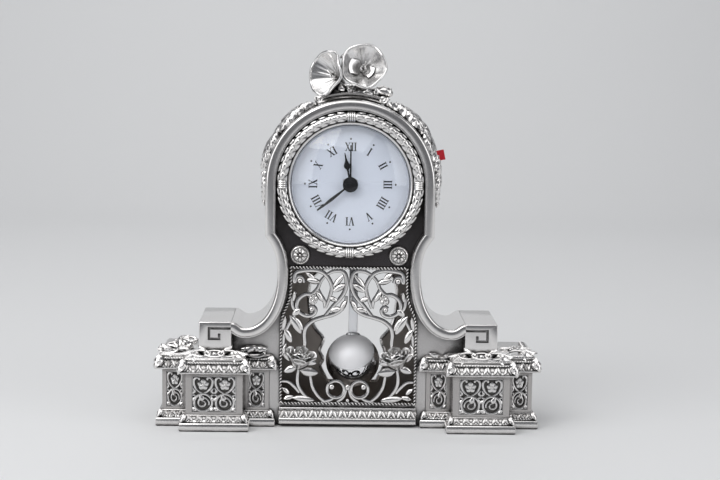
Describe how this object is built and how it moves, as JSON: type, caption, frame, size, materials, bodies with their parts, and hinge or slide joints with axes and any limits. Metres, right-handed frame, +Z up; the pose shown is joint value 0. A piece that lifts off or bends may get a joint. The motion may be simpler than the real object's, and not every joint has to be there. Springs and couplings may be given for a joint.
{
  "type": "pendulum table clock",
  "caption": "Silver table clock with an arched case on two pedestals, a pierced scrollwork front, a swinging ball pendulum, a domed lens and a crest of blossoms.",
  "frame": {"origin": "on the table, under the middle of the clock", "axes": "+X to the right seen from the front, +Y to the back, +Z up"},
  "size_m": [0.2416, 0.07, 0.2389],
  "materials": {
    "silver": "polished",
    "antique_silver": "satin",
    "case_back": "satin",
    "mirror_chrome": "polished",
    "rod_metal": "satin",
    "dial_white": "matte",
    "hand_black": "satin",
    "lens_glass": "polished",
    "movement_plastic": "satin",
    "gear_plastic": "satin",
    "steel": "satin",
    "cell_jacket": "gloss",
    "copper_winding": "satin",
    "red_plastic": "satin"
  },
  "bodies": {
    "case": {"case_shell": "silver", "front_moulding": "silver", "front_plate": "silver", "rope_border": "silver", "base_plate": "case_back", "frieze_rail": "silver", "back_panel": "case_back", "back_screw_top_right": "steel", "back_screw_top_left": "steel", "back_screw_foot_right": "steel", "back_screw_foot_left": "steel", "fretwork_panel": "silver", "rosette_right": "silver", "rosette_left": "silver", "pedestal_plinth_right": "silver", "pedestal_plinth_left": "silver", "pedestal_body_right": "silver", "pedestal_body_left": "silver", "pedestal_cap_right": "silver", "pedestal_cap_left": "silver", "filigree_front_right": "antique_silver", "filigree_front_left": "antique_silver", "filigree_outer_right": "antique_silver", "filigree_outer_left": "antique_silver", "filigree_inner_right": "antique_silver", "filigree_inner_left": "antique_silver", "filigree_side_right": "antique_silver", "filigree_side_left": "antique_silver", "bezel_ring": "silver", "lens": "lens_glass", "dial": "dial_white", "shaft_nut": "steel", "movement_case": "movement_plastic", "movement_cover": "movement_plastic", "step_motor": "copper_winding", "battery_tray": "movement_plastic", "battery": "cell_jacket", "contact_positive": "steel", "contact_negative": "steel", "pendulum_bracket": "movement_plastic", "pivot_pin": "steel", "drive_coil": "copper_winding", "crest_mount": "silver", "blossom_right": "silver", "blossom_left": "silver", "garland_right": "silver", "garland_left": "silver"},
    "seconds": {"second_hand": "hand_black", "second_arbor": "steel"},
    "third": {"third_wheel": "gear_plastic"},
    "minutes": {"minute_hand": "hand_black", "centre_wheel": "gear_plastic"},
    "setting": {"minute_wheel": "gear_plastic", "setting_knob": "movement_plastic"},
    "hours": {"hour_hand": "hand_black", "hour_wheel": "gear_plastic"},
    "pendulum": {"pendulum_rod": "rod_metal", "pendulum_bob": "mirror_chrome", "drive_magnet": "steel"},
    "tab": {"pull_tab": "red_plastic"}
  },
  "joints": [
    {"name": "second_spin", "type": "hinge", "parent": "case", "child": "seconds", "pos_m": [0, -0.0149, 0.153], "axis": [0, 1, 0], "continuous": true},
    {"name": "third_spin", "type": "hinge", "parent": "case", "child": "third", "pos_m": [0, -0.0149, 0.16575], "axis": [0, 1, 0], "continuous": true},
    {"name": "minute_spin", "type": "hinge", "parent": "case", "child": "minutes", "pos_m": [0, -0.0149, 0.153], "axis": [0, 1, 0], "continuous": true},
    {"name": "setting_spin", "type": "hinge", "parent": "case", "child": "setting", "pos_m": [0, -0.0149, 0.13991], "axis": [0, 1, 0], "continuous": true},
    {"name": "hour_spin", "type": "hinge", "parent": "case", "child": "hours", "pos_m": [0, -0.0149, 0.153], "axis": [0, 1, 0], "continuous": true},
    {"name": "pendulum_swing", "type": "hinge", "parent": "case", "child": "pendulum", "pos_m": [0.0033, 0.0081, 0.117], "axis": [0, 1, 0], "range_deg": [-9, 9]},
    {"name": "tab_pull", "type": "slide", "parent": "case", "child": "tab", "axis": [0, 1, 0], "range_m": [0, 0.024]}
  ],
  "couplings": [
    {"joint": "third_spin", "follows": "second_spin", "ratio": -0.13333},
    {"joint": "minute_spin", "follows": "second_spin", "ratio": 0.016667},
    {"joint": "setting_spin", "follows": "second_spin", "ratio": -0.0055556},
    {"joint": "hour_spin", "follows": "second_spin", "ratio": 0.0013889}
  ]
}
